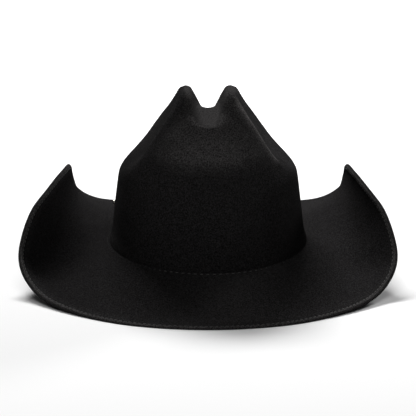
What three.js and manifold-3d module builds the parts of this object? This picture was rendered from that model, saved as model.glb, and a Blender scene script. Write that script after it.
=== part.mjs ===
// A black felt western hat with a cattleman crease, standing on the front and back of its brim.
// Crown and brim are one felt body, as a real hat is blocked from one felt. A sweatband lines the
// crown's foot, and a small plain metal pin sits low on the left side of the crown as the front is seen.
// Millimetres, +Z up, the front of the hat faces -Y, and the surface that it stands on is z = 0.
import * as THREE from "three";
import { mergeVertices } from "three/addons/utils/BufferGeometryUtils.js";
import Module from "manifold-3d";

// Driving dimensions

const headLength = 198; // opening inside the sweatband, front to back
const headWidth = 164; // opening inside the sweatband, side to side
const crownHeight = 143; // from the brim break up, the length that the crown's heights are shares of
const brimWidth = 92; // from the break to the edge, the length that the brim's reaches are shares of
const sideRise = 75.3; // the highest point of the brim's rolled sides above its resting front
const breakHeight = 20; // the brim break above the surface that the hat stands on
const feltWall = 2.4;
const edgeWall = 3.6; // the brim's edge, where the felt is turned under
const edgeTurn = 5.5; // width of the turned edge
const pressed = 0.35; // how far the felt is flattened where it rests
const bendRadius = 3.2; // where the crown's wall turns into the brim
const sweatbandHeight = 36;
const sweatbandWall = 1.2;
const sweatbandFoot = 1; // the sweatband's lower edge above the break
const fitGap = 0.3; // between the felt and what lies on it
const pinRadius = 3.1;
const pinPlate = 0.5;
const pinRise = 0.9; // the dome above its plate
const pinHeight = 31.5; // the pin's centre above the break
const pinTurn = 270; // the pin's direction on the hat, in degrees from the front
const postRadius = 0.8;

// The crown's lines, from the crease down to the wall's foot. side, front and back are shares of the base
// oval's half width and half length, square is the outline's roundness (2 is an ellipse), dent is the
// share that each side is pushed in, steps are the rings down to the next line, and at* are heights as
// shares of crownHeight in the directions of crownTurns.
const crownTurns = { atFront: 0, atCorner: 40, atHump: 66, atSide: 95, atRear: 130, atBack: 180 };
const crownLines = [
  { line: "crease", side: 0, front: 0.5, back: 0.49, square: 2, dent: 0, steps: 1,
    atFront: 0.811, atCorner: 0.809, atHump: 0.806, atSide: 0.798, atRear: 0.764, atBack: 0.724 },
  { line: "trough", side: 0.119, front: 0.56, back: 0.555, square: 2.6, dent: 0, steps: 1,
    atFront: 0.816, atCorner: 0.815, atHump: 0.811, atSide: 0.805, atRear: 0.771, atBack: 0.708 },
  { line: "crease wall", side: 0.153, front: 0.595, back: 0.59, square: 2.8, dent: 0, steps: 1,
    atFront: 0.819, atCorner: 0.839, atHump: 0.883, atSide: 0.864, atRear: 0.809, atBack: 0.697 },
  { line: "inner ridge", side: 0.176, front: 0.62, back: 0.615, square: 3, dent: 0, steps: 2,
    atFront: 0.819, atCorner: 0.854, atHump: 0.946, atSide: 0.914, atRear: 0.837, atBack: 0.689 },
  { line: "ridge", side: 0.229, front: 0.655, back: 0.645, square: 3, dent: 0, steps: 2,
    atFront: 0.815, atCorner: 0.866, atHump: 0.973, atSide: 0.936, atRear: 0.846, atBack: 0.679 },
  { line: "outer ridge", side: 0.333, front: 0.69, back: 0.68, square: 3, dent: 0.06, steps: 1,
    atFront: 0.796, atCorner: 0.847, atHump: 0.942, atSide: 0.903, atRear: 0.83, atBack: 0.66 },
  { line: "upper dent", side: 0.502, front: 0.758, back: 0.748, square: 3.1, dent: 0.19, steps: 3,
    atFront: 0.735, atCorner: 0.762, atHump: 0.811, atSide: 0.767, atRear: 0.718, atBack: 0.611 },
  { line: "lower dent", side: 0.717, front: 0.836, back: 0.836, square: 2.9, dent: 0.17, steps: 2,
    atFront: 0.601, atCorner: 0.612, atHump: 0.63, atSide: 0.582, atRear: 0.563, atBack: 0.514 },
  { line: "shoulder", side: 0.889, front: 0.893, back: 0.91, square: 2.25, dent: 0.02, steps: 2,
    atFront: 0.49, atCorner: 0.49, atHump: 0.503, atSide: 0.455, atRear: 0.448, atBack: 0.427 },
  { line: "upper wall", side: 0.918, front: 0.93, back: 0.945, square: 2.08, dent: 0, steps: 1,
    atFront: 0.368, atCorner: 0.368, atHump: 0.368, atSide: 0.349, atRear: 0.349, atBack: 0.339 },
  { line: "middle wall", side: 0.949, front: 0.96, back: 0.968, square: 2.03, dent: 0, steps: 1,
    atFront: 0.193, atCorner: 0.193, atHump: 0.193, atSide: 0.193, atRear: 0.193, atBack: 0.193 },
  { line: "lower wall", side: 0.959, front: 0.97, back: 0.977, square: 2.02, dent: 0, steps: 1,
    atFront: 0.08, atCorner: 0.08, atHump: 0.08, atSide: 0.08, atRear: 0.08, atBack: 0.08 },
];
// Where each side dent begins, is deepest and ends, in degrees from the front. It begins at a fold.
const dentTurns = { front: 57, deepest: 82, back: 127 };
const dentSoftness = 1.1; // 1 ends the dent in a sharp fold, and more ends it more gently

// The brim's sections round one half, mirrored for the other. turn is the direction on the base oval, in
// degrees; across and along carry the break to the edge, as shares of brimWidth; height is the edge's
// height above its resting front, as a share of sideRise; leave and arrive are the felt's slopes at the
// break and at the edge, in degrees.
const brimSections = [
  { turn: 0, across: 0, along: -0.968, height: 0, leave: -12, arrive: -3 },
  { turn: 20, across: 0.362, along: -0.918, height: 0, leave: -12, arrive: -3 },
  { turn: 40, across: 0.63, along: -0.78, height: 0.026, leave: -12, arrive: 0 },
  { turn: 56, across: 0.79, along: -0.64, height: 0.114, leave: -12, arrive: 12 },
  { turn: 70, across: 0.838, along: -0.512, height: 0.367, leave: -10, arrive: 50 },
  { turn: 82, across: 0.705, along: -0.366, height: 0.724, leave: -8, arrive: 85 },
  { turn: 94, across: 0.53, along: -0.23, height: 0.924, leave: -6, arrive: 105 },
  { turn: 106, across: 0.448, along: -0.07, height: 1, leave: -4, arrive: 110 },
  { turn: 118, across: 0.492, along: 0.072, height: 0.947, leave: -4, arrive: 105 },
  { turn: 130, across: 0.618, along: 0.28, height: 0.715, leave: -6, arrive: 80 },
  { turn: 143, across: 0.755, along: 0.54, height: 0.405, leave: -8, arrive: 40 },
  { turn: 157, across: 0.68, along: 0.775, height: 0.118, leave: -10, arrive: 10 },
  { turn: 168, across: 0.38, along: 0.905, height: 0, leave: -12, arrive: -3 },
  { turn: 180, across: 0, along: 0.968, height: 0, leave: -12, arrive: -3 },
];

// Fineness of the meshes

const stations = 80; // columns of the felt's grid, round the hat
const brimRings = 11;
const bendRings = 3;
const pinSides = 14;
const domeSteps = 3;

// Sizes that follow

const layers = sweatbandWall + fitGap + feltWall;
const baseHalfWidth = headWidth / 2 + layers;
const baseHalfLength = headLength / 2 + layers;
const fullTurn = 2 * Math.PI;
const radians = (degrees) => (degrees * Math.PI) / 180;

// Smooth interpolation

// The cubic through knots (at, value) whose slope at each knot is that of the line past its neighbours.
function through(knots, at) {
  let i = 1;
  while (i < knots.length - 3 && knots[i + 1].at <= at) i += 1;
  const [k0, k1, k2, k3] = knots.slice(i - 1, i + 3);
  const span = k2.at - k1.at;
  const slope1 = (k2.value - k0.value) / (k2.at - k0.at);
  const slope2 = (k3.value - k1.value) / (k3.at - k1.at);
  const t = (at - k1.at) / span;
  const t2 = t * t;
  const t3 = t2 * t;
  return (
    (2 * t3 - 3 * t2 + 1) * k1.value +
    (t3 - 2 * t2 + t) * span * slope1 +
    (3 * t2 - 2 * t3) * k2.value +
    (t3 - t2) * span * slope2
  );
}

// Values given at some turns of one half, made into a function that runs smoothly all the way round.
// sign is 1 for a value that the other half repeats and -1 for one that it has with the sign changed.
function roundTheHat(degrees, values, sign = 1) {
  const half = degrees.map((turn, i) => ({ at: radians(turn), value: values[i] }));
  const mirror = (k) => ({ at: fullTurn - k.at, value: sign * k.value });
  const before = { at: -half[1].at, value: sign * half[1].value };
  const after = { at: fullTurn + half[1].at, value: half[1].value };
  const knots = [before, ...half, ...half.slice(0, -1).reverse().map(mirror), after];
  return (turn) => through(knots, turn);
}

const power = (value, exponent) => Math.sign(value) * Math.abs(value) ** exponent;

// The crown's outer face

// The share of its width that the crown keeps at a turn, where a dent pushes it in.
function pushedIn(turn, dent) {
  const side = Math.min(turn, fullTurn - turn);
  const deepest = radians(dentTurns.deepest);
  const end = radians(side < deepest ? dentTurns.front : dentTurns.back);
  const bowl = Math.max(0, 1 - ((side - deepest) / (end - deepest)) ** 2);
  return 1 - dent * bowl ** dentSoftness;
}

const crownRows = crownLines.map((row) => {
  const height = roundTheHat(
    Object.values(crownTurns),
    Object.keys(crownTurns).map((name) => row[name]),
  );
  return (turn) => {
    const forwards = Math.cos(turn);
    const reach = baseHalfLength * (forwards > 0 ? row.front : row.back);
    return new THREE.Vector3(
      baseHalfWidth * row.side * pushedIn(turn, row.dent) * power(Math.sin(turn), 2 / row.square),
      -reach * power(forwards, 2 / row.square),
      breakHeight + crownHeight * height(turn),
    );
  };
});
const mirrored = (point) => new THREE.Vector3(-point.x, point.y, point.z);

// The line where the wall would meet the brim, which the bend rounds off.
const breakPoint = (turn) =>
  new THREE.Vector3(baseHalfWidth * Math.sin(turn), -baseHalfLength * Math.cos(turn), breakHeight);

const outwards = (turn) =>
  new THREE.Vector3(Math.sin(turn) / baseHalfWidth, -Math.cos(turn) / baseHalfLength, 0).normalize();

// The top of the bend, on the wall.
function footPoint(turn) {
  const corner = breakPoint(turn);
  const up = crownRows.at(-1)(turn).sub(corner).normalize();
  return corner.addScaledVector(up, bendRadius);
}

// The point at share t of the way between the middle two of four marks, on a smooth curve through all.
function between(marks, t) {
  const curve = new THREE.CatmullRomCurve3(marks, false, "centripetal");
  return curve.getPoint((1 + t) / 3);
}

function crownColumn(turn) {
  const rows = crownRows.map((row) => row(turn));
  const foot = footPoint(turn);
  const beyond = foot.clone().lerp(rows.at(-1), -1);
  const line = [mirrored(rows[1]), ...rows, foot, beyond];
  return crownLines.flatMap((row, i) =>
    Array.from({ length: row.steps }, (_, step) => between(line.slice(i, i + 4), step / row.steps)),
  );
}

// The brim's outer face

const sectionValue = (name, sign) =>
  roundTheHat(
    brimSections.map((row) => row.turn),
    brimSections.map((row) => row[name]),
    sign,
  );
const across = sectionValue("across", -1);
const along = sectionValue("along");
const height = sectionValue("height");
const leave = sectionValue("leave");
const arrive = sectionValue("arrive");

const sloping = (direction, degrees) =>
  direction
    .clone()
    .multiplyScalar(Math.cos(radians(degrees)))
    .setZ(Math.sin(radians(degrees)));

// The brim's curve at a turn, from the break to the edge's middle. The handles are those that would make
// a curve of this turning an arc.
function brimCurve(turn) {
  const from = breakPoint(turn);
  const to = new THREE.Vector3(
    from.x + across(turn) * brimWidth,
    from.y + along(turn) * brimWidth,
    edgeWall / 2 - pressed + height(turn) * sideRise,
  );
  const start = sloping(outwards(turn), leave(turn));
  const end = sloping(to.clone().sub(from).setZ(0).normalize(), arrive(turn));
  const handle = from.distanceTo(to) / (3 * Math.cos(start.angleTo(end) / 4) ** 2);
  return new THREE.CubicBezierCurve3(
    from,
    from.clone().addScaledVector(start, handle),
    to.clone().addScaledVector(end, -handle),
    to,
  );
}

function brimColumn(turn) {
  const curve = brimCurve(turn);
  const length = curve.getLength();
  const first = bendRadius / length;
  const fold = 1 - edgeTurn / length;
  const lip = 1 - edgeWall / 2 / length;
  const rings = Array.from({ length: brimRings }, (_, ring) => ring / (brimRings - 1));
  return [...rings.map((share) => first + (fold - first) * share), lip].map((share) =>
    curve.getPointAt(share),
  );
}

function feltColumn(turn) {
  const brim = brimColumn(turn);
  const bend = new THREE.QuadraticBezierCurve3(footPoint(turn), breakPoint(turn), brim[0]);
  const bendPoints = bend.getPoints(bendRings).slice(0, bendRings);
  return [...crownColumn(turn), ...bendPoints, ...brim];
}

// Grids of points become closed shells

const around = Array.from({ length: stations }, (_, station) => station);
const turnOf = (station) => (fullTurn * station) / stations;
const wrap = (station) => (station + stations) % stations;

// The outer face's normals, from each point's neighbours. The two halves share the crease's line, so
// across it lies the other half's next ring, and at its two ends it is looked along.
function normalsOf(columns) {
  const normalAt = (j, i) => {
    const [next, back] = [columns[wrap(j + 1)], columns[wrap(j - 1)]];
    const other = wrap(-j);
    if (i === 0 && other === j) {
      const wide = next[1].clone().sub(back[1]);
      return columns[j][1].clone().sub(next[0]).cross(wide).normalize();
    }
    const above = i === 0 ? columns[other][1] : columns[j][i - 1];
    const below = columns[j][Math.min(i + 1, columns[j].length - 1)];
    return below.clone().sub(above).cross(next[i].clone().sub(back[i])).normalize();
  };
  return columns.map((column, j) => column.map((_, i) => normalAt(j, i)));
}

// A closed mesh from columns of points that run round the hat. A loop joins its last ring to its first.
// Otherwise the first and last rings are folded lines, which merging closes.
function shellOf(columns, isLoop) {
  const rings = columns[0].length;
  const at = (j, i) => wrap(j) * rings + (i % rings);
  const faces = around.flatMap((j) =>
    Array.from({ length: isLoop ? rings : rings - 1 }, (_, i) => [
      [at(j, i), at(j, i + 1), at(j + 1, i + 1)],
      [at(j, i), at(j + 1, i + 1), at(j + 1, i)],
    ]).flat(),
  );
  const shell = new THREE.BufferGeometry();
  const positions = columns.flat().flatMap((point) => point.toArray());
  shell.setAttribute("position", new THREE.Float32BufferAttribute(positions, 3));
  shell.setIndex(faces.flat());
  return mergedFaces(shell);
}

// The same mesh with shared corners, without the faces that merging leaves with no area.
function mergedFaces(geometry) {
  const merged = mergeVertices(geometry, 1e-3);
  const index = merged.getIndex().array;
  const kept = [];
  for (let i = 0; i < index.length; i += 3) {
    const [a, b, c] = index.slice(i, i + 3);
    if (a !== b && b !== c && c !== a) kept.push(a, b, c);
  }
  merged.setIndex(kept);
  return merged;
}

// Boolean cuts

const wasm = await Module();
wasm.setup();

function solidOf(geometry) {
  const bare = new THREE.BufferGeometry();
  bare.setAttribute("position", geometry.getAttribute("position"));
  bare.setIndex(geometry.getIndex());
  const merged = mergedFaces(bare);
  const vertProperties = new Float32Array(merged.getAttribute("position").array);
  const triVerts = new Uint32Array(merged.getIndex().array);
  return new wasm.Manifold(new wasm.Mesh({ numProp: 3, vertProperties, triVerts }));
}

function geometryOf(solid) {
  const mesh = solid.getMesh();
  const geometry = new THREE.BufferGeometry();
  geometry.setAttribute("position", new THREE.BufferAttribute(mesh.vertProperties, 3));
  geometry.setIndex(new THREE.BufferAttribute(mesh.triVerts, 1));
  return geometry;
}

// Felt body

const outerColumns = around.map((j) => feltColumn(turnOf(j)));
const outerNormals = normalsOf(outerColumns);
const inwards = (j, i, depth) => outerColumns[j][i].clone().addScaledVector(outerNormals[j][i], -depth);
const ontoSurface = (point) => point.setZ(Math.max(point.z, 0));

// The felt's outer face, round the edge to its inner face. The edge is as thick as its turned felt, and
// what would reach below the surface that the hat stands on is pressed flat there.
function feltShell() {
  const columns = around.map((j) => {
    const outer = outerColumns[j];
    const lip = outer.length - 1;
    const tip = brimCurve(turnOf(j)).getPoint(1);
    const middle = tip.addScaledVector(outerNormals[j][lip], -edgeWall / 2);
    const inner = outer.map((_, i) => inwards(j, i, i === lip ? edgeWall : feltWall));
    return [...outer, middle, ...inner.reverse()].map(ontoSurface);
  });
  return shellOf(columns, false);
}

// Places on the crown's wall

const footRing = crownLines.reduce((sum, row) => sum + row.steps, 0);

// The point at a height on the wall's line up from its foot, a depth inside the felt's outer face.
function wallPoint(j, height, depth) {
  const marks = outerColumns[j].slice(1, footRing + 1).map((_, i) => inwards(j, i + 1, depth));
  marks.reverse();
  const above = marks.findIndex((mark, i) => i > 0 && mark.z >= height);
  const [low, high] = [marks[above - 1], marks[above]];
  return low.clone().lerp(high, (height - low.z) / (high.z - low.z));
}

// Sweatband

// It bends where the crown's wall does, at the wall's lowest line above its foot.
function sweatbandShell() {
  const low = breakHeight + sweatbandFoot;
  const high = low + sweatbandHeight;
  const columns = around.map((j) => {
    const face = (depth) => [
      wallPoint(j, low, depth),
      inwards(j, footRing - 1, depth),
      wallPoint(j, high, depth),
    ];
    return [...face(feltWall + fitGap).reverse(), ...face(layers)];
  });
  return shellOf(columns, true);
}

// Side pin

const pinStation = Math.round((stations * pinTurn) / 360);
const pinSeat = wallPoint(pinStation, breakHeight + pinHeight, 0);

// Carries +Y, the axis that a lathed shape turns about, onto the felt's outward direction at the pin.
function turnToFace(geometry) {
  const up = wallPoint(pinStation, breakHeight + pinHeight + pinRadius, 0).sub(pinSeat).normalize();
  const out = pinSeat.clone().sub(wallPoint(pinStation, breakHeight + pinHeight, feltWall));
  out.addScaledVector(up, -out.dot(up)).normalize();
  const turned = new THREE.Matrix4().makeBasis(out.clone().cross(up), out, up);
  return geometry.applyMatrix4(turned).translate(...pinSeat.toArray());
}

// The dome, its plate and the post that holds it in the felt, about +Y with the felt's face at y = 0.
function pinShape() {
  const postEnd = fitGap - feltWall;
  const dome = Array.from({ length: domeSteps + 1 }, (_, step) => {
    const angle = (Math.PI / 2) * (step / domeSteps);
    const height = fitGap + pinPlate + pinRise * Math.sin(angle);
    return new THREE.Vector2(step === domeSteps ? 0 : pinRadius * Math.cos(angle), height);
  });
  const post = [
    [0, postEnd],
    [postRadius, postEnd],
    [postRadius, fitGap],
    [pinRadius, fitGap],
  ].map(([radius, height]) => new THREE.Vector2(radius, height));
  return new THREE.LatheGeometry([...post, ...dome], pinSides);
}

// Its corners are turned off the grid's lines, so that the cut makes no slivers.
function postHole() {
  const radius = postRadius + fitGap;
  const length = 4 * feltWall;
  return new THREE.CylinderGeometry(radius, radius, length, pinSides).rotateY(Math.PI / pinSides / 2);
}

// The hat

function mesh(name, solid, color, roughness, metalness) {
  const geometry = geometryOf(solid).toNonIndexed();
  geometry.computeVertexNormals();
  const material = new THREE.MeshStandardMaterial({ color, roughness, metalness });
  const piece = new THREE.Mesh(geometry, material);
  piece.name = name;
  return piece;
}

const felt = solidOf(feltShell()).subtract(solidOf(turnToFace(postHole())));
const sweatband = solidOf(sweatbandShell());
const pin = solidOf(turnToFace(pinShape()));

const hat = new THREE.Group();
hat.add(mesh("felt_body", felt, 0x121214, 0.95, 0));
hat.add(mesh("sweatband", sweatband, 0x17120f, 0.6, 0));
hat.add(mesh("side_pin", pin, 0xc9a65c, 0.3, 1));
export default hat;
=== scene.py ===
# A black felt western hat, dressed for the studio: its felt with nap, turned edge and stitching, the
# sweatband inside it and the small pin on its side. Metres, +Z up, the front of the hat faces -Y.
import math
from collections import deque

import bmesh
import bpy
from mathutils import Matrix, Vector, noise
from mathutils.bvhtree import BVHTree


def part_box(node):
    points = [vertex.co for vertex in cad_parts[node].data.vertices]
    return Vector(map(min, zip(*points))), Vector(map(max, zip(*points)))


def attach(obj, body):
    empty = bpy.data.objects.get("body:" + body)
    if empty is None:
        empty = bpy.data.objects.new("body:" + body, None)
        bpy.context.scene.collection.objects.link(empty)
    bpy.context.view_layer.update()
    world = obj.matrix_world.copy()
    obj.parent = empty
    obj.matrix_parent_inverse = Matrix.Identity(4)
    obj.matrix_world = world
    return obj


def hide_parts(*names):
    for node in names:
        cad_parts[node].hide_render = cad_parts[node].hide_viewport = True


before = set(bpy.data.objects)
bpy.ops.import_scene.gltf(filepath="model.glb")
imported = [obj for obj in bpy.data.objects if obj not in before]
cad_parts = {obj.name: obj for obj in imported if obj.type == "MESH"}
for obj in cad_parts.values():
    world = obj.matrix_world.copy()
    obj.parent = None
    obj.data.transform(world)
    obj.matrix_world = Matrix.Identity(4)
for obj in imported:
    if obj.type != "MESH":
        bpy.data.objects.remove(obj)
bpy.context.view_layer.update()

MM = 0.001
JOINED_WITHIN = 0.002 * MM  # corners of triangles this close are one point
ON_MIDDLE = 0.01 * MM  # points this close to the middle of the hat lie on it

# How the felt solid is laid out: columns round the hat, from the front towards +X, and rings from the
# crease over the crown and the brim to the edge, and back on the inner face.
STATIONS = 80
FOOT_RING = 18  # the foot of the crown's wall, and two rings of the bend below it
FOLD_RING = 31  # where the turned edge begins
LIP_RING = 32
EDGE_RING = 33
LAST_RING = 66
# Rings added between them
FOLD_STEP = -1
UPPER_GROOVE = -2
LOWER_GROOVE = -3

# The hole for the pin's post
POST_REACH = 1.7 * MM
HOLE_SIDES = 8

# The crown's foot, where the felt turns sharply into the brim
BREAK_HALF_WIDTH = 85.9 * MM
BREAK_HALF_LENGTH = 102.9 * MM
BREAK_HEIGHT = 20 * MM

# How far the rings of the wall's foot and of the bend are drawn out to the corner
FOOT_DRAWN = {FOOT_RING - 1: 0.25, FOOT_RING: 0.65, FOOT_RING + 1: 0.75, FOOT_RING + 2: 0.6}

# How far the rings beside the ridge of each hump move towards the crease, and down
HUMP_ROUNDING = {
    1: (-0.5 * MM, 0),
    2: (-0.9 * MM, 0),
    3: (0.5 * MM, 0),
    4: (0.9 * MM, -0.1 * MM),
    5: (0, -0.15 * MM),
    6: (0, 0.15 * MM),
    7: (0.2 * MM, 0.6 * MM),
}
HUMPS_FROM_MIDDLE = 8 * MM  # nearer to the crease's line than this, they move less

# The dip of the brim's edge beside each tip: how deep it is, its place across the hat and its spread
DIP = 1.7 * MM
DIP_AT = 107 * MM
DIP_SPREAD = 17 * MM
# How much further out the tip itself stands, its place across the hat and its spread
TIP_WIDER = 0.9 * MM
TIP_AT = 112 * MM
TIP_SPREAD = 9 * MM
# Both grow from the middle of the hat to this far behind it, and from this ring on over the next ones
DIP_IN_FULL_BEHIND = 60 * MM
DIP_FIRST_RING = 22
DIP_RINGS = 8

# The turned edge of the brim
FOLD_WIDTH = 0.9 * MM
FOLD_RISE = 0.45 * MM
GROOVE_DEPTH = 0.3 * MM
STITCH_FROM_FOLD = 1.9 * MM

# Each row's stitches: from one to the next, their length and their thickness
EDGE_STITCH = (4.2 * MM, 3.1 * MM, 0.62 * MM)
FOOT_STITCH = (5.3 * MM, 3.0 * MM, 0.75 * MM)
BAND_STITCH = (3.4 * MM, 2.4 * MM, 0.5 * MM)
STITCH_STANDS = 0.15  # share of a stitch's thickness that its middle stands off the felt
STITCH_LEAN = 0.1  # how far a stitch runs sideways for each step along
FOOT_STITCH_OUT = 1.9 * MM  # from the corner of wall and brim
FOOT_STITCH_SUNK = 0.46 * MM  # how deep the stitches lie in the felt at the crown's sides
SUNK_IN_FULL = 0.6  # from this share of the crown's half width on
LINE_STEPS = 8  # steps of a smooth line between two of its points

# The felt's unevenness: how far across each kind of swell is, how far it stands off and where it starts
SWELLS = [
    {"kind": "broad", "across": 46 * MM, "stands": 0.30 * MM, "starts": Vector((0, 0, 0))},
    {"kind": "lumps", "across": 11 * MM, "stands": 0.07 * MM, "starts": Vector((7, 3, 11))},
    {"kind": "pile", "across": 3.1 * MM, "stands": 0.03 * MM, "starts": Vector((2, 9, 5))},
]
RESTING_BELOW = 2.2 * MM  # felt this low keeps its place, so that the hat lies flat

# The pin: from its middle under the plate, over the rim to the top of the dome, as shares of its rim's
# radius and of its rise
PIN_PROFILE = [
    (0, 0.1), (0.80, 0.1), (0.94, 0.16), (1, 0.28), (0.97, 0.42), (0.88, 0.46), (0.80, 0.40),
    (0.74, 0.42), (0.66, 0.58), (0.52, 0.74), (0.34, 0.86), (0.17, 0.93), (0, 0.95),
]
PIN_FILLS = 0.985  # share of the solid pin's width
PIN_RISE = 1.35 * MM
PIN_STANDS = 0.1 * MM
PIN_STEPS = 32

# The sweatband: its hems by their place and reach as shares of its height, and how far they stand in
BAND_HEMS = [(0.07, 0.05, 0.55 * MM), (0.95, 0.04, 0.3 * MM)]
BAND_STITCH_ROWS = (0.14, 0.9)  # as shares of its height
BAND_RIB = 1.1 * MM  # from rib to rib of its weave
BAND_SEAM = 9 * MM  # half the width of the joint at its back
BAND_SEAM_STANDS = 0.5 * MM
BAND_WAVE = 24 * MM  # how far across each swell of its wave is
BAND_WAVE_STANDS = 0.25 * MM

# How the solid band's faces are parted: an edge that climbs more than the first runs up it, and one that
# climbs less than the second runs round it
BAND_UPRIGHT = 2 * MM
BAND_LEVEL = 0.5 * MM
BAND_CUTS_UP = 7
BAND_CUTS_ROUND = 3
BAND_CUT_FROM = 3 * MM  # shorter edges round it stay whole

# Painted light and shade on the felt: on which rings, at which turn from the front in degrees, which is
# positive towards +X, over what spread and how far it is painted lighter as a highlight (+) or darker as
# shade (-)
ALL_ROUND = 1000
PAINTED_SHADING = [
    {"where": "top of the crown", "rings": range(7), "at": 0, "spread": ALL_ROUND, "lies": 0.16},
    {"where": "lip of the crease", "rings": (5, 6), "at": 0, "spread": 40, "lies": 0.18},
    {"where": "under the lip", "rings": (7,), "at": 0, "spread": 60, "lies": 0.3},
    {"where": "pinch of the front", "rings": (8, 9, 10), "at": 0, "spread": 42, "lies": 0.4},
    {"where": "below the pinch", "rings": (11,), "at": 0, "spread": 32, "lies": 0.16},
    {"where": "fold of the right dent", "rings": range(7, 12), "at": 59, "spread": 6, "lies": 0.55},
    {"where": "deep of the right dent", "rings": range(7, 13), "at": 71, "spread": 6, "lies": -0.35},
    {"where": "left dent", "rings": range(6, 14), "at": -82, "spread": 26, "lies": -0.5},
    {"where": "right of the crown's front", "rings": range(14, 19), "at": 60, "spread": 22, "lies": -0.38},
    {"where": "left of the crown's front", "rings": range(14, 19), "at": -60, "spread": 22, "lies": -0.18},
    {"where": "left of the brim", "rings": range(20, 32), "at": -90, "spread": 72, "lies": -0.42},
    {"where": "front of the brim", "rings": range(20, 32), "at": 4, "spread": 20, "lies": 0.14},
    {"where": "brim's rim", "rings": (LIP_RING,), "at": 0, "spread": ALL_ROUND, "lies": 0.42},
]

# The black felt: between its tufts, on them, and the colour of its painted highlights. Fibres are given as
# fibres and tufts to a metre, and a relief by its strength and depth.
FELT_DARK = (0.005, 0.0048, 0.005)
FELT_LIGHT = (0.04, 0.0385, 0.039)
FELT_PAINTED_HIGHLIGHT = (0.2, 0.19, 0.188)
FELT_FIBRES = (2200, 1000)
FELT_RELIEF = (0.8, 0.5 * MM)
FELT_SHINE = {
    "Roughness": 0.9,
    "Specular IOR Level": 0.0,
    "Sheen Weight": 0.012,
    "Sheen Roughness": 0.45,
    "Sheen Tint": (1, 0.97, 0.96, 1),
}

# The black thread
THREAD_DARK = (0.04, 0.039, 0.038)
THREAD_LIGHT = (0.14, 0.135, 0.13)
THREAD_FIBRES = (5000, 1900)
THREAD_SHINE = {"Roughness": 0.6, "Specular IOR Level": 0.2}

# The black ribbed band
BAND_DARK = (0.006, 0.0055, 0.005)
BAND_LIGHT = (0.028, 0.026, 0.024)
BAND_FIBRES = (4000, 900)
# painted shade in the grooves between the band's ribs
PAINTED_SHADE_BETWEEN_RIBS = 0.35  # share of the colour that is left there
WAVE_OF_SCALE_1 = 0.314  # metres from crest to crest of a wave pattern whose scale is 1
RIB_RELIEF = (0.6, 0.3 * MM)
BAND_SHINE = {"Roughness": 0.6, "Specular IOR Level": 0.3, "Sheen Weight": 0.12}

# The pale brass of the pin
BRASS_DULL = (0.76, 0.71, 0.6)
BRASS_BRIGHT = (0.93, 0.9, 0.8)
BRASS_ROUGHNESS = (0.16, 0.34)
BRASS_MARKS = 1600  # to a metre

# Matted fibres: the noise of the fibres and of their tufts by detail, distortion, and darkest and lightest
# level
FIBRE_LAYERS = {"Fibre": (3, 1.6, 0.36, 0.66), "Tuft": (2, 0.6, 0.36, 0.64)}
TUFT_SHARE = 0.66
FIBRE_CONTRAST = 1.5

# The camera, from the photograph's perspective
CAMERA_DISTANCE = 2.2
CAMERA_RISE = math.radians(15.3)
CAMERA_FOCUS = Vector((0, 0, 70 * MM))
CAMERA_AIM = Vector((0, 0, 47.5 * MM))
CAMERA_LENS = 219.3  # on a sensor 36 mm wide

# The lights: the way to each from the hat, its distance, width, height and power
LIGHTS = {
    "back light": ((-0.19, 1, 0.94), 2.5, 1.1, 0.4, 90),
    "front light": ((-0.05, -0.8, 2.3), 2.5, 1.4, 1.4, 15),
    "right edge light": ((0.8, 0.9, 0.5), 2.3, 0.5, 0.5, 25),
    "left edge light": ((-0.9, 0.7, 0.5), 2.3, 0.5, 0.5, 1),
}
AIR = 0.026  # the strength of the white all round
FLOOR_WHITE = (0.86, 0.86, 0.86)
FLOOR_RADIUS = 14


# The studio


def make_camera():
    data = bpy.data.cameras.new("portrait")
    data.sensor_width = 36
    data.lens = CAMERA_LENS
    data.clip_end = 50
    camera = bpy.data.objects.new("portrait", data)
    bpy.context.scene.collection.objects.link(camera)
    back = Vector((0, -math.cos(CAMERA_RISE), math.sin(CAMERA_RISE)))
    camera.location = CAMERA_FOCUS + CAMERA_DISTANCE * back
    look = CAMERA_AIM - camera.location
    camera.rotation_mode = "QUATERNION"
    camera.rotation_quaternion = look.to_track_quat("-Z", "Y")
    bpy.context.scene.camera = camera


def softbox(name, towards, distance, width, height, power):
    """An oblong light in the direction "towards", turned to face the crown."""
    data = bpy.data.lights.new(name, "AREA")
    data.shape = "RECTANGLE"
    data.size = width
    data.size_y = height
    data.energy = power
    lamp = bpy.data.objects.new(name, data)
    bpy.context.scene.collection.objects.link(lamp)
    out = Vector(towards).normalized()
    lamp.location = CAMERA_FOCUS + distance * out
    lamp.rotation_mode = "QUATERNION"
    lamp.rotation_quaternion = (-out).to_track_quat("-Z", "Y")


def light_the_studio():
    """A wide soft light high behind the hat, a weaker one above the front, an edge light at the back right
    and a faint one at the back left, and white air all round."""
    for name, light in LIGHTS.items():
        softbox(name, *light)
    world = bpy.data.worlds.new("studio air")
    world.use_nodes = True
    background = world.node_tree.nodes["Background"]
    background.inputs["Color"].default_value = (1, 1, 1, 1)
    background.inputs["Strength"].default_value = AIR
    bpy.context.scene.world = world
    view = bpy.context.scene.view_settings
    view.view_transform = "Standard"
    view.look = "None"


def lay_the_floor():
    mesh = bmesh.new()
    bmesh.ops.create_circle(mesh, cap_ends=True, segments=64, radius=FLOOR_RADIUS)
    white, _, _, shader = new_finish("studio white")
    set_values(shader, {"Base Color": (*FLOOR_WHITE, 1), "Roughness": 0.9})
    floor = piece_from(mesh, "floor", white)


# Pieces from meshes


def piece_from(mesh, name, finish):
    """An object at the origin from a bmesh, which it uses up, shaded smooth."""
    data = bpy.data.meshes.new(name)
    for face in mesh.faces:
        face.smooth = True
    mesh.to_mesh(data)
    mesh.free()
    data.materials.append(finish)
    piece = bpy.data.objects.new(name, data)
    bpy.context.scene.collection.objects.link(piece)
    return piece


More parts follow.
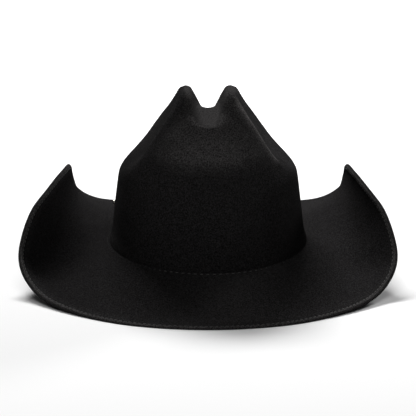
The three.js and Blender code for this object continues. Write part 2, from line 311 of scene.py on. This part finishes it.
def merged_copy(node):
    """A node's triangles with their corners joined."""
    mesh = bmesh.new()
    mesh.from_mesh(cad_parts[node].data)
    for layers in (mesh.loops.layers.uv, mesh.verts.layers.float_vector):
        for layer in list(layers.values()):
            layers.remove(layer)
    bmesh.ops.remove_doubles(mesh, verts=mesh.verts, dist=JOINED_WITHIN)
    return mesh


def smoothed(piece, levels):
    smooth = piece.modifiers.new("smooth surface", "SUBSURF")
    smooth.levels = levels
    smooth.render_levels = levels


def settle(piece):
    """Gives a piece its finished surface in place of its modifiers."""
    depsgraph = bpy.context.evaluated_depsgraph_get()
    depsgraph.update()
    done = bpy.data.meshes.new_from_object(piece.evaluated_get(depsgraph))
    piece.modifiers.clear()
    piece.data = done


def surface_of(piece):
    """The finished surface of a piece, to set other pieces on."""
    depsgraph = bpy.context.evaluated_depsgraph_get()
    return BVHTree.FromObject(piece, depsgraph)


def ease_cage(piece, rounds=3):
    """Moves a cage's points until its subdivision surface passes where the points were."""
    goal = [v.co.copy() for v in piece.data.vertices]
    for _ in range(rounds):
        depsgraph = bpy.context.evaluated_depsgraph_get()
        depsgraph.update()
        shown = piece.evaluated_get(depsgraph).to_mesh()
        drift = [goal[i] - shown.vertices[i].co for i in range(len(goal))]
        piece.evaluated_get(depsgraph).to_mesh_clear()
        for vertex, step in zip(piece.data.vertices, drift):
            vertex.co += step
        piece.data.update()


# The felt


def close_post_hole(felt):
    """Takes the pin's small hole out of the felt, which the pin covers, and mends the grid there."""
    low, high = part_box("side_pin")
    centre = (low + high) / 2
    near = [
        v
        for v in felt.verts
        if v.co.x < 0 and math.hypot(v.co.y - centre.y, v.co.z - centre.z) < POST_REACH
    ]
    bmesh.ops.delete(felt, geom=near, context="VERTS")
    rim = [edge for edge in felt.edges if edge.is_boundary]
    filled = bmesh.ops.holes_fill(felt, edges=rim, sides=HOLE_SIDES)["faces"]
    for face in filled:
        on_line = sorted(face.verts, key=lambda v: abs(v.co.y))[:2]
        bmesh.ops.connect_verts(felt, verts=on_line)


# Round each triangle its sides run along a ring's step, a station's step and a diagonal in this order, so
# the step of one side gives the next.
NEXT_STEP = {(0, 1): (1, 0), (1, 0): (-1, -1), (-1, -1): (0, 1)}
NEXT_STEP.update({(-a, -b): (-c, -d) for (a, b), (c, d) in NEXT_STEP.items()})


def corner_places(felt):
    """The (station, ring) of each triangle's corners, walked from the front of the brim's edge."""
    on_middle = [v for v in felt.verts if abs(v.co.x) < ON_MIDDLE]
    tip = min(on_middle, key=lambda v: v.co.y)
    inner_lip = min(
        (e.other_vert(tip) for e in tip.link_edges if abs(e.other_vert(tip).co.x) < ON_MIDDLE),
        key=lambda v: v.co.z,
    )
    shared = felt.edges.get((tip, inner_lip))
    start = max(shared.link_faces, key=lambda f: max(v.co.x for v in f.verts))
    known = {tip: (0, EDGE_RING), inner_lip: (0, EDGE_RING + 1)}
    places = {loop: known.get(loop.vert, (1, EDGE_RING + 1)) for loop in start.loops}
    waiting = deque([start])
    while waiting:
        face = waiting.popleft()
        for loop in face.loops:
            here, ahead = places[loop], places[loop.link_loop_next]
            if here[1] == ahead[1] and here[1] in (0, LAST_RING):
                continue  # the crease's line, where the two halves meet
            other = loop.link_loop_radial_next
            if other in places or len(other.face.verts) != 3:
                continue
            across = (here[0] - ahead[0] + STATIONS // 2) % STATIONS - STATIONS // 2
            step = NEXT_STEP[(across, here[1] - ahead[1])]
            far = ((here[0] + step[0]) % STATIONS, here[1] + step[1])
            places[other] = ahead
            places[other.link_loop_next] = here
            places[other.link_loop_prev] = far
            waiting.append(other.face)
    return places


def square_up(felt):
    """Joins the triangles into the grid's four-sided faces and notes each point's station and ring."""
    station = felt.verts.layers.int.new("station")
    ring = felt.verts.layers.int.new("ring")
    places = corner_places(felt)
    diagonals = {}  # kept in the order of the walk, which a set's order wouldn't be
    for loop, here in places.items():
        loop.vert[station], loop.vert[ring] = here
        ahead = places[loop.link_loop_next]
        if here[0] != ahead[0] and here[1] != ahead[1]:
            diagonals[loop.edge] = True
    bmesh.ops.dissolve_edges(felt, edges=list(diagonals), use_verts=False)


def ring_line(felt, ring):
    """The points of one of the felt's rings, in order round the hat."""
    ring_of = felt.verts.layers.int["ring"]
    line = [v for v in felt.verts if v[ring_of] == ring]
    return sorted(line, key=lambda v: math.atan2(v.co.x, -v.co.y))


def cut_ring(felt, inner, outer, reach, added):
    """Adds a ring of points between two rings, the distance reach from the outer one."""
    ring_of = felt.verts.layers.int["ring"]
    shares = {}
    for edge in felt.edges:
        rings = [v[ring_of] for v in edge.verts]
        if sorted(rings) == sorted((inner, outer)):
            share = reach / edge.calc_length()
            shares[edge] = share if rings[0] == outer else 1 - share
    cut = bmesh.ops.subdivide_edges(
        felt, edges=list(shares), cuts=1, use_grid_fill=True, edge_percents=shares
    )
    for v in cut["geom_inner"]:
        if isinstance(v, bmesh.types.BMVert):
            v[ring_of] = added


def raise_turned_edge(felt):
    """Stands the turned edge a little above the brim, grooved on both faces where it is stitched down.
    Returns the two grooves' points."""
    cut_ring(felt, FOLD_RING - 1, FOLD_RING, FOLD_WIDTH, FOLD_STEP)
    cut_ring(felt, LIP_RING, FOLD_RING, STITCH_FROM_FOLD, UPPER_GROOVE)
    cut_ring(felt, LAST_RING - LIP_RING, LAST_RING - FOLD_RING, STITCH_FROM_FOLD, LOWER_GROOVE)
    felt.normal_update()
    rises = {
        FOLD_RING: FOLD_RISE,
        LIP_RING: FOLD_RISE,
        UPPER_GROOVE: FOLD_RISE - GROOVE_DEPTH,
        LOWER_GROOVE: -GROOVE_DEPTH,
    }
    moves = [(v, v.normal * rise) for ring, rise in rises.items() for v in ring_line(felt, ring)]
    for v, move in moves:
        v.co += move
    return [[v.co.copy() for v in ring_line(felt, ring)] for ring in (UPPER_GROOVE, LOWER_GROOVE)]


def tighten_foot(felt):
    """Draws the bend at the crown's foot into the corner, where its row of stitches pulls the felt in,
    and stands the wall up straight above it."""
    for ring, drawn in FOOT_DRAWN.items():
        for v in ring_line(felt, ring):
            turn = math.atan2(v.co.x / BREAK_HALF_WIDTH, -v.co.y / BREAK_HALF_LENGTH)
            corner = Vector(
                (BREAK_HALF_WIDTH * math.sin(turn), -BREAK_HALF_LENGTH * math.cos(turn), BREAK_HEIGHT)
            )
            height = v.co.z if ring <= FOOT_RING else v.co.z + (corner.z - v.co.z) * drawn
            v.co = v.co.lerp(corner, drawn)
            v.co.z = height


def round_humps(felt):
    """Rounds the two humps: their sides towards the crease are fuller above and steeper below, and their
    outer shoulders lie a little lower."""
    moves = []
    for ring, (inwards, down) in HUMP_ROUNDING.items():
        for v in ring_line(felt, ring):
            share = min(1, abs(v.co.x) / HUMPS_FROM_MIDDLE)
            moves.append((v, Vector((-math.copysign(inwards, v.co.x) * share, 0, -down))))
    for v, move in moves:
        v.co += move


def hill(place, middle, spread):
    """1 at the middle, falling off smoothly to both sides."""
    return math.exp(-(((place - middle) / spread) ** 2))


def deepen_back_curve(felt):
    """Lets the edge of the brim dip deeper between its two tips and the back and draws the tips out, on
    both faces."""
    ring_of = felt.verts.layers.int["ring"]
    for v in felt.verts:
        ring = min(v[ring_of], LAST_RING - v[ring_of])
        out = min(1, max(0, (ring - DIP_FIRST_RING) / DIP_RINGS))
        back = min(1, max(0, v.co.y / DIP_IN_FULL_BEHIND))
        side = abs(v.co.x)
        dip = DIP * hill(side, DIP_AT, DIP_SPREAD) * out * back
        widen = TIP_WIDER * hill(side, TIP_AT, TIP_SPREAD) * out * back
        v.co.x += math.copysign(widen, v.co.x)
        v.co.z -= dip


def paint_shading(felt):
    """Notes at each point how far painted shade darkens it or a painted highlight lightens it."""
    station_of, ring_of = felt.verts.layers.int["station"], felt.verts.layers.int["ring"]
    painted_shading = felt.verts.layers.float.new("painted_shading")
    for v in felt.verts:
        turn = 360 / STATIONS * ((v[station_of] + STATIONS / 2) % STATIONS - STATIONS / 2)
        # painted light and shade: the sum of the patches that reach this point
        v[painted_shading] = sum(
            patch["lies"] * hill(turn, patch["at"], patch["spread"])
            for patch in PAINTED_SHADING
            if v[ring_of] in patch["rings"]
        )


def unevenness(place):
    """How far blocked felt stands off its even shape there."""
    return sum(noise.noise(place / swell["across"] + swell["starts"]) * swell["stands"] for swell in SWELLS)


def make_felt(finish):
    """The felt piece, with the lines along which its edge is stitched on its upper and lower faces."""
    felt = merged_copy("felt_body")
    close_post_hole(felt)
    square_up(felt)
    deepen_back_curve(felt)
    grooves = raise_turned_edge(felt)
    tighten_foot(felt)
    round_humps(felt)
    # painted light and shade, kept at each point for the felt's finish
    paint_shading(felt)
    piece = piece_from(felt, "felt", finish)
    smoothed(piece, 2)
    ease_cage(piece)
    settle(piece)
    felt = bmesh.new()
    felt.from_mesh(piece.data)
    felt.normal_update()
    for v in felt.verts:
        lift = min(1, max(0, v.co.z - RESTING_BELOW) / RESTING_BELOW)
        v.co += v.normal * unevenness(v.co) * lift
        v.co.z = max(v.co.z, 0)
    felt.to_mesh(piece.data)
    felt.free()
    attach(piece, "root")
    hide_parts("felt_body")
    return piece, grooves


# Stitching


def closed_line(points):
    """A closed smooth line through points, in short steps."""
    count = len(points)
    line = []
    for i in range(count):
        a, b, c, d = (points[(i + k) % count] for k in (-1, 0, 1, 2))
        bend = 2 * a - 5 * b + 4 * c - d
        twist = 3 * b - a - 3 * c + d
        for k in range(LINE_STEPS):
            t = k / LINE_STEPS
            line.append(0.5 * (2 * b + (c - a) * t + bend * t**2 + twist * t**3))
    return line


def stations_along(line, pitch):
    """Points about a pitch apart all the way along a closed line, each with the line's direction there."""
    lengths = [(line[(i + 1) % len(line)] - line[i]).length for i in range(len(line))]
    total = sum(lengths)
    count = round(total / pitch)
    gap = total / count
    i, run = 0, 0.0
    for k in range(count):
        while run + lengths[i] < k * gap:
            run += lengths[i]
            i += 1
        ahead = line[(i + 1) % len(line)] - line[i]
        yield line[i] + ahead * ((k * gap - run) / lengths[i]), ahead.normalized()


def sew(stitches, surface, line, pitch, length, thickness, sunk_at_sides=0):
    """Lays a stitch on the surface at each pitch of a line, dipping into it at both ends."""
    one = bmesh.new()
    bmesh.ops.create_uvsphere(one, u_segments=6, v_segments=5, radius=1)
    size = Matrix.Diagonal((length / 2, thickness / 2, thickness / 2, 1))
    loose = bpy.data.meshes.new("stitch")
    for place, along in stations_along(line, pitch):
        foot, out, _, _ = surface.find_nearest(place)
        along = (along - along.dot(out) * out).normalized()
        side = out.cross(along)
        along = (along + STITCH_LEAN * side).normalized()
        side = out.cross(along)
        turn = Matrix((along, side, out)).transposed().to_4x4()
        sunk = sunk_at_sides * min(1, (foot.x / (SUNK_IN_FULL * BREAK_HALF_WIDTH)) ** 2)
        stand = Matrix.Translation(foot + out * (thickness * STITCH_STANDS - sunk))
        stitch = one.copy()
        stitch.transform(stand @ turn @ size)
        below_floor = min(0, min(v.co.z for v in stitch.verts))
        stitch.transform(Matrix.Translation((0, 0, -below_floor)))
        stitch.to_mesh(loose)
        stitch.free()
        stitches.from_mesh(loose, face_normals=False, vertex_normals=False)
    one.free()
    bpy.data.meshes.remove(loose)


def make_stitching(felt, grooves, finish):
    """The row that holds the turned edge, seen on both faces, and the row round the foot of the crown."""
    surface = surface_of(felt)
    edge = bmesh.new()
    for groove in grooves:
        sew(edge, surface, closed_line(groove), *EDGE_STITCH)
    foot = bmesh.new()
    half_width = BREAK_HALF_WIDTH + FOOT_STITCH_OUT
    half_length = BREAK_HALF_LENGTH + FOOT_STITCH_OUT
    height = BREAK_HEIGHT + FOOT_STITCH_OUT
    turns = [2 * math.pi * k / STATIONS for k in range(STATIONS)]
    above = [Vector((half_width * math.sin(t), -half_length * math.cos(t), height)) for t in turns]
    above = closed_line(above)
    on_brim = [surface.ray_cast(place, Vector((0, 0, -1)))[0] for place in above]
    sew(foot, surface, on_brim, *FOOT_STITCH, FOOT_STITCH_SUNK)
    for name, mesh in (("edge_stitches", edge), ("crown_foot_stitches", foot)):
        row = piece_from(mesh, name, finish)
        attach(row, "root")


# The pin


def make_pin(finish):
    """A turned metal dome on a rolled rim, where the pin of the solids is."""
    low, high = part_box("side_pin")
    middle = (low + high) / 2
    rim = (high.z - low.z) / 2 * PIN_FILLS
    pin = bmesh.new()
    turned = [pin.verts.new((share * rim, 0, height * PIN_RISE)) for share, height in PIN_PROFILE]
    sides = [pin.edges.new(pair) for pair in zip(turned, turned[1:])]
    bmesh.ops.spin(
        pin,
        geom=turned + sides,
        cent=(0, 0, 0),
        axis=(0, 0, 1),
        angle=2 * math.pi,
        steps=PIN_STEPS,
        use_merge=True,
    )
    bmesh.ops.remove_doubles(pin, verts=pin.verts, dist=JOINED_WITHIN)
    bmesh.ops.recalc_face_normals(pin, faces=pin.faces)
    wall = surface_of(bpy.data.objects["felt"])
    seat, out, _, _ = wall.find_nearest(Vector((low.x, middle.y, middle.z)))
    turn = out.to_track_quat("Z", "Y").to_matrix().to_4x4()
    bmesh.ops.transform(pin, matrix=Matrix.Translation(seat + out * PIN_STANDS) @ turn, verts=pin.verts)
    piece = piece_from(pin, "pin", finish)
    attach(piece, "root")
    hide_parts("side_pin")


# The sweatband


def band_relief(low, high, place):
    """How far the band stands in from its plain face there: its hems, the back seam and a slight wave."""
    up = (place.z - low.z) / (high.z - low.z)
    hems = sum(hill(up, at, reach) * stands for at, reach, stands in BAND_HEMS)
    from_seam = abs(place.x) / BAND_SEAM if place.y > 0 else 2
    seam = BAND_SEAM_STANDS * max(0, 1 - from_seam**6)
    wave = noise.noise(place / BAND_WAVE) * BAND_WAVE_STANDS
    return hems + seam + wave


def band_line(surface, height):
    """A closed line round the band's inner face at a height."""
    turns = [2 * math.pi * k / STATIONS for k in range(STATIONS)]
    middle = Vector((0, 0, height))
    return closed_line([surface.ray_cast(middle, Vector((math.sin(t), -math.cos(t), 0)))[0] for t in turns])


def lay_flat_pattern(band, low):
    """Gives the band a pattern map in metres: along it and up it."""
    flat = band.loops.layers.uv.new("laid flat")
    radius = (abs(low.x) + abs(low.y)) / 2
    for face in band.faces:
        middle = face.calc_center_median()
        seam_side = math.atan2(middle.x, -middle.y)
        for loop in face.loops:
            turn = math.atan2(loop.vert.co.x, -loop.vert.co.y)
            if abs(turn - seam_side) > math.pi:
                turn += math.copysign(2 * math.pi, seam_side)
            loop[flat].uv = (turn * radius, loop.vert.co.z)


def make_sweatband(finish, thread):
    """A ribbed band with a hem along both edges, joined at the back, and the stitching along it."""
    low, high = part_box("sweatband")
    band = merged_copy("sweatband")
    bmesh.ops.join_triangles(
        band, faces=band.faces, angle_face_threshold=math.pi, angle_shape_threshold=math.pi
    )
    upright = [e for e in band.edges if abs(e.verts[0].co.z - e.verts[1].co.z) > BAND_UPRIGHT]
    bmesh.ops.subdivide_edges(band, edges=upright, cuts=BAND_CUTS_UP, use_grid_fill=True)
    round_way = [e for e in band.edges if abs(e.verts[0].co.z - e.verts[1].co.z) < BAND_LEVEL]
    long_way = [e for e in round_way if e.calc_length() > BAND_CUT_FROM]
    bmesh.ops.subdivide_edges(band, edges=long_way, cuts=BAND_CUTS_ROUND, use_grid_fill=True)
    piece = piece_from(band, "sweat_band", finish)
    smoothed(piece, 1)
    settle(piece)
    band = bmesh.new()
    band.from_mesh(piece.data)
    band.normal_update()
    for v in band.verts:
        inside = v.normal.x * v.co.x + v.normal.y * v.co.y < 0
        if inside:
            v.co += v.normal * band_relief(low, high, v.co)
    lay_flat_pattern(band, low)
    band.to_mesh(piece.data)
    band.free()
    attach(piece, "root")
    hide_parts("sweatband")
    surface = surface_of(piece)
    rows = bmesh.new()
    for share in BAND_STITCH_ROWS:
        height = low.z + (high.z - low.z) * share
        sew(rows, surface, band_line(surface, height), *BAND_STITCH)
    row = piece_from(rows, "band_stitches", thread)
    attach(row, "root")


# Finishes


def new_finish(name):
    finish = bpy.data.materials.new(name)
    finish.use_nodes = True
    nodes = finish.node_tree.nodes
    return finish, nodes, finish.node_tree.links, nodes["Principled BSDF"]


def set_values(node, values):
    for name, value in values.items():
        node.inputs[name].default_value = value


def fibres_in(nodes, fibres, dark, light, fibre, tuft):
    """Places the group of matted fibres in a finish: its two colours, and fibres and tufts to a metre."""
    placed = nodes.new("ShaderNodeGroup")
    placed.node_tree = fibres
    set_values(placed, {"Dark": (*dark, 1), "Light": (*light, 1), "Fibre": fibre, "Tuft": tuft})
    return placed


def socket(group, name, kind, is_input=True):
    group.interface.new_socket(name=name, in_out="INPUT" if is_input else "OUTPUT", socket_type=kind)


def fibre_group():
    """Short matted fibres in small tufts: a colour that varies from dark to light, and a height."""
    group = bpy.data.node_groups.new("matted fibres", "ShaderNodeTree")
    socket(group, "Dark", "NodeSocketColor")
    socket(group, "Light", "NodeSocketColor")
    socket(group, "Fibre", "NodeSocketFloat")
    socket(group, "Tuft", "NodeSocketFloat")
    socket(group, "Color", "NodeSocketColor", is_input=False)
    socket(group, "Height", "NodeSocketFloat", is_input=False)
    nodes, links = group.nodes, group.links
    inside, outside = nodes.new("NodeGroupInput"), nodes.new("NodeGroupOutput")
    place = nodes.new("ShaderNodeTexCoord")
    layers = []
    for name, (detail, distortion, darkest, lightest) in FIBRE_LAYERS.items():
        texture = nodes.new("ShaderNodeTexNoise")
        set_values(texture, {"Detail": detail, "Roughness": 0.6, "Distortion": distortion})
        links.new(place.outputs["Object"], texture.inputs["Vector"])
        links.new(inside.outputs[name], texture.inputs["Scale"])
        spread = nodes.new("ShaderNodeMapRange")
        set_values(spread, {"From Min": darkest, "From Max": lightest})
        links.new(texture.outputs["Fac"], spread.inputs["Value"])
        layers.append(spread.outputs["Result"])
    both = nodes.new("ShaderNodeMix")
    both.inputs["Factor"].default_value = TUFT_SHARE
    links.new(layers[0], both.inputs["A"])
    links.new(layers[1], both.inputs["B"])
    shade = nodes.new("ShaderNodeMath")
    shade.operation = "POWER"
    links.new(both.outputs["Result"], shade.inputs[0])
    shade.inputs[1].default_value = FIBRE_CONTRAST
    mix = nodes.new("ShaderNodeMix")
    mix.data_type = "RGBA"
    links.new(shade.outputs["Value"], mix.inputs["Factor"])
    links.new(inside.outputs["Dark"], mix.inputs[6])
    links.new(inside.outputs["Light"], mix.inputs[7])
    links.new(mix.outputs[2], outside.inputs["Color"])
    links.new(both.outputs["Result"], outside.inputs["Height"])
    return group


def raised(nodes, links, shader, height, strength, distance):
    """Gives a shader the fine relief of a height."""
    bump = nodes.new("ShaderNodeBump")
    set_values(bump, {"Strength": strength, "Distance": distance})
    links.new(height, bump.inputs["Height"])
    links.new(bump.outputs["Normal"], shader.inputs["Normal"])


def felt_finish(fibres):
    """Matted fibres, painted lighter in the painted highlights and darker in the painted shade."""
    finish, nodes, links, shader = new_finish("black felt")
    fibre = fibres_in(nodes, fibres, FELT_DARK, FELT_LIGHT, *FELT_FIBRES)
    painted_shading = nodes.new("ShaderNodeAttribute")
    painted_shading.attribute_name = "painted_shading"
    # painted highlight: how far the fibres' colour turns towards the highlight colour
    smooth = nodes.new("ShaderNodeMath")
    smooth.operation = "MULTIPLY"
    links.new(painted_shading.outputs["Fac"], smooth.inputs[0])
    links.new(fibre.outputs["Height"], smooth.inputs[1])
    lighten = nodes.new("ShaderNodeMix")
    lighten.data_type = "RGBA"
    links.new(smooth.outputs["Value"], lighten.inputs["Factor"])
    links.new(fibre.outputs["Color"], lighten.inputs[6])
    lighten.inputs[7].default_value = (*FELT_PAINTED_HIGHLIGHT, 1)
    # painted shade: the colour is scaled down where the painted shading is below 0
    upright = nodes.new("ShaderNodeMapRange")
    set_values(upright, {"From Min": -1, "From Max": 0})
    links.new(painted_shading.outputs["Fac"], upright.inputs["Value"])
    darken = nodes.new("ShaderNodeVectorMath")
    darken.operation = "SCALE"
    links.new(lighten.outputs[2], darken.inputs[0])
    links.new(upright.outputs["Result"], darken.inputs["Scale"])
    links.new(darken.outputs["Vector"], shader.inputs["Base Color"])
    raised(nodes, links, shader, fibre.outputs["Height"], *FELT_RELIEF)
    set_values(shader, FELT_SHINE)
    return finish


def thread_finish(fibres):
    finish, nodes, links, shader = new_finish("black thread")
    fibre = fibres_in(nodes, fibres, THREAD_DARK, THREAD_LIGHT, *THREAD_FIBRES)
    links.new(fibre.outputs["Color"], shader.inputs["Base Color"])
    set_values(shader, THREAD_SHINE)
    return finish


def band_finish(fibres):
    """Woven ribbon with fine upright ribs, which run by the band's own flat pattern, with painted shade
    between the ribs.
    """
    finish, nodes, links, shader = new_finish("black ribbed band")
    fibre = fibres_in(nodes, fibres, BAND_DARK, BAND_LIGHT, *BAND_FIBRES)
    flat = nodes.new("ShaderNodeUVMap")
    flat.uv_map = "laid flat"
    ribs = nodes.new("ShaderNodeTexWave")
    ribs.bands_direction = "X"
    set_values(ribs, {"Scale": WAVE_OF_SCALE_1 / BAND_RIB, "Distortion": 0.4, "Detail Scale": 200})
    links.new(flat.outputs["UV"], ribs.inputs["Vector"])
    # painted shade: darker between the ribs
    between = nodes.new("ShaderNodeMapRange")
    between.inputs["To Min"].default_value = PAINTED_SHADE_BETWEEN_RIBS
    links.new(ribs.outputs["Fac"], between.inputs["Value"])
    shade = nodes.new("ShaderNodeVectorMath")
    shade.operation = "SCALE"
    links.new(fibre.outputs["Color"], shade.inputs[0])
    links.new(between.outputs["Result"], shade.inputs["Scale"])
    links.new(shade.outputs["Vector"], shader.inputs["Base Color"])
    raised(nodes, links, shader, ribs.outputs["Fac"], *RIB_RELIEF)
    set_values(shader, BAND_SHINE)
    return finish


def pin_finish():
    """Pale brass polished by hand: fine marks of the cloth and a slightly uneven gloss."""
    finish, nodes, links, shader = new_finish("pale polished brass")
    place = nodes.new("ShaderNodeTexCoord")
    marks = nodes.new("ShaderNodeTexNoise")
    set_values(marks, {"Scale": BRASS_MARKS, "Detail": 3})
    links.new(place.outputs["Object"], marks.inputs["Vector"])
    gloss = nodes.new("ShaderNodeMapRange")
    set_values(gloss, {"To Min": BRASS_ROUGHNESS[0], "To Max": BRASS_ROUGHNESS[1]})
    links.new(marks.outputs["Fac"], gloss.inputs["Value"])
    links.new(gloss.outputs["Result"], shader.inputs["Roughness"])
    tarnish = nodes.new("ShaderNodeMix")
    tarnish.data_type = "RGBA"
    tarnish.inputs[6].default_value = (*BRASS_DULL, 1)
    tarnish.inputs[7].default_value = (*BRASS_BRIGHT, 1)
    links.new(marks.outputs["Fac"], tarnish.inputs["Factor"])
    links.new(tarnish.outputs[2], shader.inputs["Base Color"])
    shader.inputs["Metallic"].default_value = 1
    return finish


make_camera()
light_the_studio()
lay_the_floor()
fibres = fibre_group()
felt, grooves = make_felt(felt_finish(fibres))
thread = thread_finish(fibres)
make_stitching(felt, grooves, thread)
make_sweatband(band_finish(fibres), thread)
make_pin(pin_finish())
